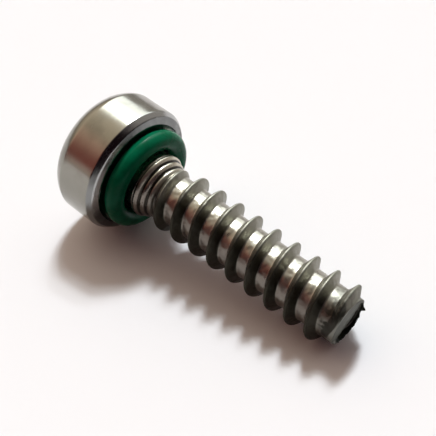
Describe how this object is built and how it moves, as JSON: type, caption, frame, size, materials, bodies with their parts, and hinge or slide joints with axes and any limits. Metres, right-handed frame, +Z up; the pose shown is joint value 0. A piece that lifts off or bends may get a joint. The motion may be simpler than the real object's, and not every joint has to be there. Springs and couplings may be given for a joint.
{
  "type": "self-tapping sealing screw",
  "caption": "Self-tapping screw with a tall round head, six-lobe drive, rubber sealing ring seated under the head, ridged neck and coarse thread running to a blunt end.",
  "frame": {"origin": "on the floor, below the middle of the bounding box", "axes": "+X along the lying screw, from its head to its blunt end; +Z up"},
  "size_m": [0.0229, 0.0094, 0.0097],
  "materials": {
    "steel": "bright plated steel, polished by forming, fine drawing and rolling marks",
    "green_rubber": "smooth moulded rubber, satin"
  },
  "bodies": {
    "root": {"screw": "steel", "sealing_ring": "green_rubber"}
  },
  "joints": []
}
